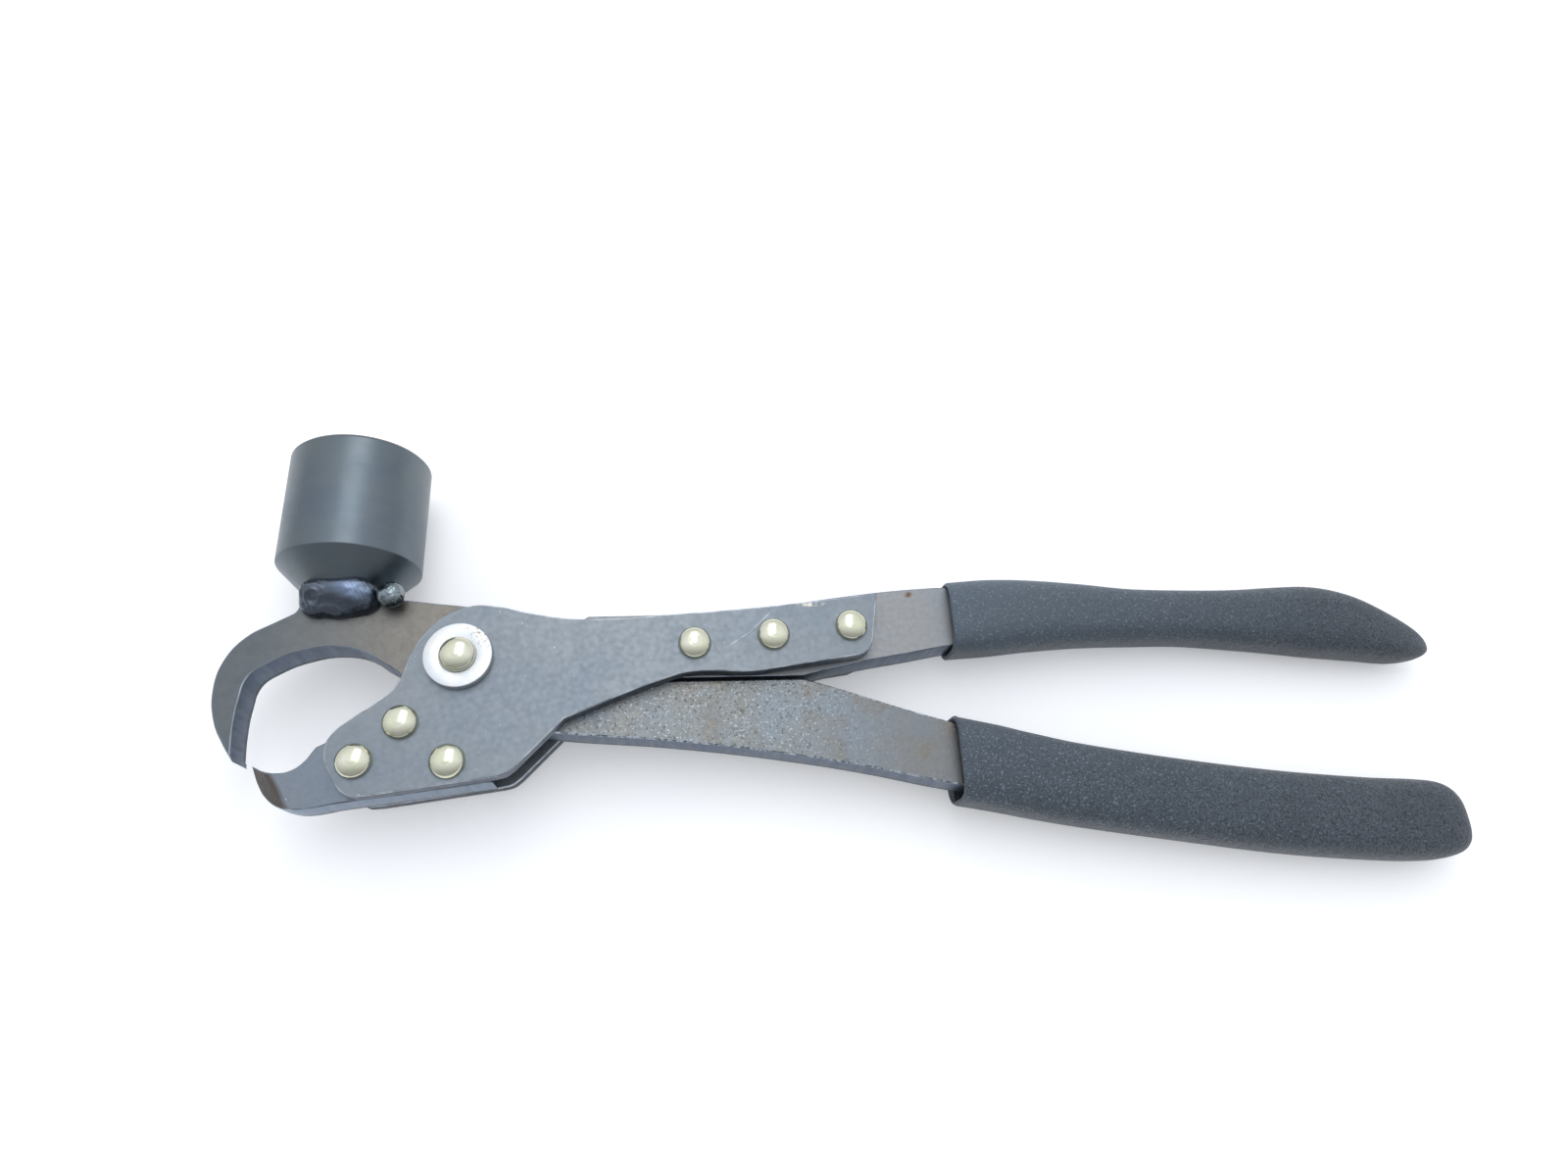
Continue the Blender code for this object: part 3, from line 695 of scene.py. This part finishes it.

# %% [markdown]
# ## Weld
# The hammer is held by two fillet welds and one tack. A weld bead freezes in
# waves: each drop of metal leaves a crescent, and where the arc stopped there is
# a crater with rings round it. We start from a sphere of many small faces,
# stretch it along the joint, and push its skin in and out with those waves. The
# skin is iron oxide, nearly black and glossy and tinted blue by the heat, and a
# lighter blue patch on its crown is a painted sheen where it reflects the sky.

# %% Heat-tinted weld metal
def weld_metal(name, dark, light, roughness):
    material, tree, shader, coords = new_finish(name, roughness, 1.0)
    tone = add(tree, "Mix", COLOUR, {FACTOR: mottle(tree, coords, 2.5),
                                     UNDER: linear(dark), OVER: linear(light)},
               **RGBA)
    normal = add(tree, "Bump", "Normal",
                 {"Height": mottle(tree, coords, 0.5, detail=4.0), "Strength": 1.0,
                  "Distance": 0.008 * MM})
    dress(tree, shader, Base_Color=tone, Normal=normal,
          Roughness=mottle(tree, coords, 0.8, roughness - 0.06, roughness + 0.1))
    return material, tree, shader, coords, tone


weld_skin, tree, shader, coords, tone = weld_metal(
    "heat_tinted_weld", "#525761", "#636C77", 0.3)
# Painted sheen: a lighter blue patch on the crown, where the glossy bead reflects the sky.
crown_sheen = mark(tree, coords, (HAMMER_X - 1.0, 15.0), (HAMMER_X + 7.6, 12.2), 2.3, 0.1)
patchy_sheen = add(tree, "Math", "Value",
             {0: crown_sheen, 1: mottle(tree, coords, 1.5, 0.55, 1.0)},
             operation="MULTIPLY")
tone = add(tree, "Mix", COLOUR, {FACTOR: patchy_sheen, UNDER: tone,
                                 OVER: linear("#8496B4")}, **RGBA)
dress(tree, shader, Base_Color=tone)

tack_skin, tree, shader, coords, tone = weld_metal(
    "glassy_tack_weld", "#6B777E", "#879195", 0.16)
scale = mottle(tree, coords, 1.4, keep=(0.5, 0.62))
tone = add(tree, "Mix", COLOUR, {FACTOR: scale, UNDER: tone,
                                 OVER: linear("#3C4248")}, **RGBA)
dress(tree, shader, Base_Color=tone)

# %% The bead and its waves
WAVE = 0.8
CRATER = Vector((HAMMER_X - 4.0, 12.2))
BEAD_Y, BEAD_HALF, BEAD_OUT = 13.0, 3.7, 4.0
LEAN, LEAN_FROM = 0.42, 11.0


def bead_wave(spot):
    """How far the skin stands out at a place on the bead, in mm."""
    away = (Vector(spot.xy) - CRATER).length
    rings = 0.16 * math.cos(math.tau * away / 1.3) * math.exp(-away / 2.2)
    pit = -0.6 * math.exp(-(away / 1.0) ** 2)
    crescent = spot.x + 0.5 * spot.y + 0.05 * (spot.y - 12.5) ** 2
    waves = 0.03 * math.cos(math.tau * crescent / WAVE) * min(1.0, away / 4.0)
    lumps = 0.45 * noise.noise(spot * 0.3) + 0.1 * noise.noise(spot * 1.1)
    return rings + pit + waves + lumps


def bead(name, node, side):
    """A blunt ball stretched along the joint, leaning out to meet the neck."""
    low, high = span(node)
    centre = Vector(((low.x + high.x) / 2 + 0.2, BEAD_Y, side * BEAD_OUT))
    radii = Vector(((high.x - low.x) / 2 + 0.5, BEAD_HALF, BEAD_HALF))
    bm = bmesh.new()
    bmesh.ops.create_uvsphere(bm, u_segments=144, v_segments=112, radius=1.0,
                              matrix=Matrix.Rotation(math.pi / 2, 4, "Y"))
    for vert in bm.verts:
        out = vert.co.normalized()
        slant = 0.4 * max(0.0, -out.y) if out.x > 0 else 0.0
        x = math.copysign(abs(out.x) ** (0.5 + slant), out.x)
        spot = centre + Vector((x * radii.x, out.y * radii.y, out.z * radii.z))
        spot.z += side * LEAN * max(0.0, spot.y - LEAN_FROM)
        vert.co = at(*(spot + out * bead_wave(spot)))
    bmesh.ops.recalc_face_normals(bm, faces=bm.faces)
    return finish(name, bm, LEVER, node, [weld_skin])


bead("weld_bead_front", "hammer_weld_front", 1)
bead("weld_bead_back", "hammer_weld_back", -1)

# %% Tack
tack_low, tack_high = span("hammer_weld_tack")
tack_centre = (tack_low + tack_high) / 2
tack_radius = (tack_high.x - tack_low.x) / 2
bm = bmesh.new()
bmesh.ops.create_icosphere(bm, subdivisions=6, radius=1.0)
for vert in bm.verts:
    out = vert.co.normalized()
    slump = 0.99 - 0.16 * max(0.0, out.z) ** 2
    crease = abs(noise.noise(out * 2.2 + Vector((4.0, 1.0, 0.0))))
    right = 0.5 + 0.5 * out.x
    crinkle = 0.04 * noise.noise(out * 1.6) + 0.14 * right * min(crease, 0.25)
    vert.co = at(*(tack_centre + out * tack_radius * (slump + crinkle)))
finish("weld_tack", bm, LEVER, "hammer_weld_tack", [tack_skin])

# %% [markdown]
# ## Foam grips
# The grips are dipped foam sleeves: soft, charcoal, grainy like a fine sponge.
# A sleeve is a tube with one closed end, so we take a flat sheet of quads and
# roll it: one way runs round the grip, the other runs from the bottom of the
# pocket, out over the rolled mouth and along the outside to the tip. The size at
# each step is measured on the CAD sleeve, so the grip keeps its own shape.
#
# The foam's cells are about 0.2 mm across. They are drawn at 0.42 mm, because
# finer ones would blur into a flat grey from here. The foam is painted lighter
# towards the mouths and on the upper grip as painted light, painted glints
# sparkle on its grains near the mouths, and painted shade darkens its underside.

# %% Charcoal foam
foam, tree, shader, coords = new_finish("charcoal_foam_skin", 0.72, 0.0)
shader.inputs["Specular IOR Level"].default_value = 0.5
shader.inputs["Sheen Weight"].default_value = 0.2
shader.inputs["Sheen Roughness"].default_value = 0.5
tone = add(tree, "Mix", COLOUR, {FACTOR: mottle(tree, coords, 5.0),
                                 UNDER: linear("#3C454F"),
                                 OVER: linear("#49525C")}, **RGBA)
cells = add(tree, "TexVoronoi", "Distance", {"Vector": coords,
                                             "Scale": 1 / (0.42 * MM)})
pore = add(tree, "MapRange", "Result", {"Value": cells, "From Min": 0.25,
                                        "From Max": 0.8})
tone = add(tree, "Mix", COLOUR, {FACTOR: pore, UNDER: tone,
                                 OVER: linear("#252C32")}, **RGBA)
# Painted light: the foam is lighter towards the mouths and on the upper grip, where more light
# falls.
painted_light_mouths_upper = add(tree, "Math", "Value",
            {0: ramp(tree, coords, "X", 190.0, 90.0),
             1: ramp(tree, coords, "Y", -45.0, 15.0)}, operation="MULTIPLY")
tone = add(tree, "Mix", COLOUR, {FACTOR: painted_light_mouths_upper, UNDER: tone,
                                 OVER: linear("#515E69")}, **RGBA)
near_mouth = add(tree, "Math", "Value",
                 {0: 1.15, 1: ramp(tree, coords, "X", 100.0, 220.0)},
                 operation="SUBTRACT")
# Painted glints: bright specks on the grains, thickest near the mouths.
painted_glints = specks(tree, coords, 0.24, 0.60, near_mouth)
tone = add(tree, "Mix", COLOUR, {FACTOR: painted_glints, UNDER: tone,
                                 OVER: linear("#6B7782")}, **RGBA)
# Painted shade: the foam darkens towards its underside.
painted_underside_shade = ramp(tree, coords, "Z", 3.5, -2.0)
tone = add(tree, "Mix", COLOUR, {FACTOR: painted_underside_shade, UNDER: tone,
                                 OVER: linear("#CFCFCF")}, **TIMES)
normal = add(tree, "Bump", "Normal", {"Height": cells, "Strength": 1.0,
                                      "Distance": -0.10 * MM})
normal = add(tree, "Bump", "Normal", {"Height": mottle(tree, coords, 1.4),
                                      "Distance": 0.08 * MM, "Strength": 1.0,
                                      "Normal": normal})
dress(tree, shader, Base_Color=tone, Normal=normal,
      Roughness=mottle(tree, coords, 0.5, 0.6, 0.82))

# %% Measure the CAD sleeve's sections
RING = 96


def sections(node):
    """Rows of x, middle height, half height and half thickness along a grip."""
    rows = {}
    for vert in frame["nodes"][node].data.vertices:
        spot = (vert.co - pivot) / MM
        rows.setdefault(round(spot.x, 2), set()).add((round(spot.y, 3),
                                                      round(spot.z, 3)))
    found = []
    for x, points in sorted(rows.items()):
        heights = [y for y, z in points]
        if len(points) >= 20:
            middle = (max(heights) + min(heights)) / 2
            found.append((x, middle, max(heights) - middle,
                          max(z for y, z in points)))
    return found


def smooth_rows(rows, count):
    """Cubic rows between measured ones, evenly spread along x."""
    slopes = []
    for i in range(len(rows)):
        left, right = rows[max(0, i - 1)], rows[min(len(rows) - 1, i + 1)]
        slopes.append([(b - a) / (right[0] - left[0])
                       for a, b in zip(left, right)])
    result = []
    for k in range(count):
        x = rows[0][0] + (rows[-1][0] - rows[0][0]) * k / (count - 1)
        i = max(j for j in range(len(rows) - 1) if rows[j][0] <= x + 1e-6)
        step = rows[i + 1][0] - rows[i][0]
        t = (x - rows[i][0]) / step
        basis = (2 * t**3 - 3 * t**2 + 1, t**3 - 2 * t**2 + t,
                 3 * t**2 - 2 * t**3, t**3 - t**2)
        result.append([basis[0] * a + basis[1] * m * step + basis[2] * b
                       + basis[3] * n * step
                       for a, m, b, n in zip(rows[i], slopes[i], rows[i + 1],
                                             slopes[i + 1])])
    return result


# %% Roll the sheet into a grip
POCKET_SHARE, POCKET_HALF = 0.87, 3.9
POCKET_DEPTH, POCKET_SQUARE = 12.0, 14
MOUTH_ROLL, MOUTH_STEPS = 0.55, 6
ROWS = 150
MOUTH_SQUARE, BODY_SQUARE = 3.6, 2.8


def grip_path(node):
    """Sections from the pocket's bottom, over the mouth, to the tip."""
    rows = smooth_rows(sections(node), ROWS)
    x, middle, half, thick = rows[0]
    slope = (rows[6][1] - middle) / (rows[6][0] - x)
    inner = half * POCKET_SHARE
    path = [(x + POCKET_DEPTH, middle + slope * POCKET_DEPTH, 0, 0, POCKET_SQUARE)]
    for depth in (POCKET_DEPTH, 6.0, 2.0, 0.6):
        path.append((x + depth, middle + slope * depth, inner, POCKET_HALF,
                     POCKET_SQUARE))
    for i in range(MOUTH_STEPS + 1):
        angle = math.pi / 2 * i / MOUTH_STEPS
        pull = MOUTH_ROLL * (1 - math.sin(angle))
        path.append((x + MOUTH_ROLL * (1 - math.cos(angle)), middle,
                     half - pull, thick - pull, MOUTH_SQUARE))
    for x, middle, half, thick in rows[1:]:
        square = MOUTH_SQUARE - BODY_SQUARE
        square = BODY_SQUARE + square * math.exp(-(x - rows[0][0]) / 8.0)
        path.append((x, middle, half, thick, square))
    path.append((path[-1][0], path[-1][1], 0, 0, 2))
    return path


def grip(name, node, body):
    path = grip_path(node)
    bm = bmesh.new()
    bmesh.ops.create_grid(bm, x_segments=len(path) - 1, y_segments=RING, size=1.0)
    for vert in bm.verts:
        row = path[round((vert.co.x + 1) / 2 * (len(path) - 1))]
        turn = (vert.co.y + 1) * math.pi
        x, middle, half, thick, square = row
        c, s = math.cos(turn), math.sin(turn)
        y = half * math.copysign(abs(c) ** (2 / square), c)
        z = thick * math.copysign(abs(s) ** (2 / square), s)
        vert.co = at(x, middle + y, z)
    bmesh.ops.remove_doubles(bm, verts=bm.verts, dist=0.000002)
    bmesh.ops.recalc_face_normals(bm, faces=bm.faces)
    piece = finish(name, bm, body, node, [foam])
    return piece


grip("upper_foam_grip", "upper_grip", FIXED)
grip("lower_foam_grip", "lower_grip", LEVER)

# %% [markdown]
# ## Table, light and camera
# The tool lies on a pale table. It touches it at the hammer and at the ends of
# the grips, and the hammer is fatter than the grips, so the table is tilted by
# a couple of degrees in the tool's frame. It glows a little, like a light table,
# which keeps the shadows faint. The light is a soft sky, brightest overhead and
# darker low down and on the side away from the hammer. One softbox stands high
# on the hammer's side, narrow enough to draw a clear sheen on the round parts.

# %% Pale table
HAIR_GAP = 0.00005
grip_low = min(span("upper_grip")[0].z, span("lower_grip")[0].z)
hammer_foot = at(HAMMER_X, 0, hammer_low.z)
grip_foot = at(190.0, 0, grip_low)
fall = (grip_foot.z - hammer_foot.z) / (grip_foot.x - hammer_foot.x)
bm = bmesh.new()
bmesh.ops.create_grid(bm, x_segments=1, y_segments=1, size=4.0)
for vert in bm.verts:
    vert.co.z = hammer_foot.z + fall * (vert.co.x - hammer_foot.x) - HAIR_GAP
table_mesh = bpy.data.meshes.new("pale_table")
bm.to_mesh(table_mesh)
bm.free()
table = bpy.data.objects.new("pale_table", table_mesh)
bpy.context.scene.collection.objects.link(table)
glowing_laminate, tree, shader, coords = new_finish("pale_glowing_laminate", 0.55, 0.0)
shader.inputs["Specular IOR Level"].default_value = 0.2
tone = add(tree, "Mix", COLOUR, {FACTOR: mottle(tree, coords, 60.0),
                                 UNDER: linear("#F0F1F3"),
                                 OVER: linear("#F4F4F4")}, **RGBA)
# The table's colour also glows: painted light that pales the shadows round the tool.
dress(tree, shader, Base_Color=tone, Emission_Color=tone)
shader.inputs["Emission Strength"].default_value = 0.26
table_mesh.materials.append(glowing_laminate)
print("table falls", round(math.degrees(math.atan(fall)), 2), "degrees")

# %% Sky
world = bpy.data.worlds.new("soft_sky")
bpy.context.scene.world = world
world.use_nodes = True
sky = world.node_tree
look = add(sky, "TexCoord", "Generated", {})
up = add(sky, "MapRange", "Result",
         {"Value": add(sky, "SeparateXYZ", "Z", {"Vector": look}),
          "From Min": 0.0, "From Max": 0.9})
back = add(sky, "MapRange", "Result",
           {"Value": add(sky, "SeparateXYZ", "Y", {"Vector": look}),
            "From Min": -0.75, "From Max": 0.1, "To Min": 0.45, "To Max": 1.0})
tone = add(sky, "Mix", COLOUR, {FACTOR: up, UNDER: linear("#CBCDD0"),
                                OVER: linear("#F4F8FF")}, **RGBA)
tone = add(sky, "Mix", COLOUR, {FACTOR: 1.0, UNDER: tone, OVER: back}, **TIMES)
background = sky.nodes["Background"]
sky.links.new(tone, background.inputs["Color"])
background.inputs["Strength"].default_value = 1.3

# %% Softbox
softbox = bpy.data.lights.new("softbox", "AREA")
softbox.shape = "RECTANGLE"
softbox.size, softbox.size_y = 0.25, 0.6
softbox.energy = 0.7
lamp = bpy.data.objects.new("softbox", softbox)
bpy.context.scene.collection.objects.link(lamp)
lamp.location = at(30, 270, 464)
aim = at(0, 0) - lamp.location
lamp.rotation_euler = aim.to_track_quat("-Z", "Y").to_euler()

# %% Camera
# The camera's two places are measured from the frame's origin, not the pivot.
CAMERA_AT = Vector((-44.92, -58.20, 197.48)) * MM
LOOKS_AT = Vector((-18.34, 16.52, 13.6)) * MM
ROLL = math.radians(17.75)
camera_data = bpy.data.cameras.new("camera")
camera_data.lens = 21.70
camera_data.sensor_width = 36.0
camera_data.clip_start = 0.01
camera = bpy.data.objects.new("camera", camera_data)
bpy.context.scene.collection.objects.link(camera)
camera.location = CAMERA_AT
level = (LOOKS_AT - camera.location).to_track_quat("-Z", "Y")
camera.rotation_mode = "QUATERNION"
camera.rotation_quaternion = level @ Quaternion((0, 0, 1), ROLL)
bpy.context.scene.camera = camera
bpy.context.scene.view_settings.view_transform = "Standard"
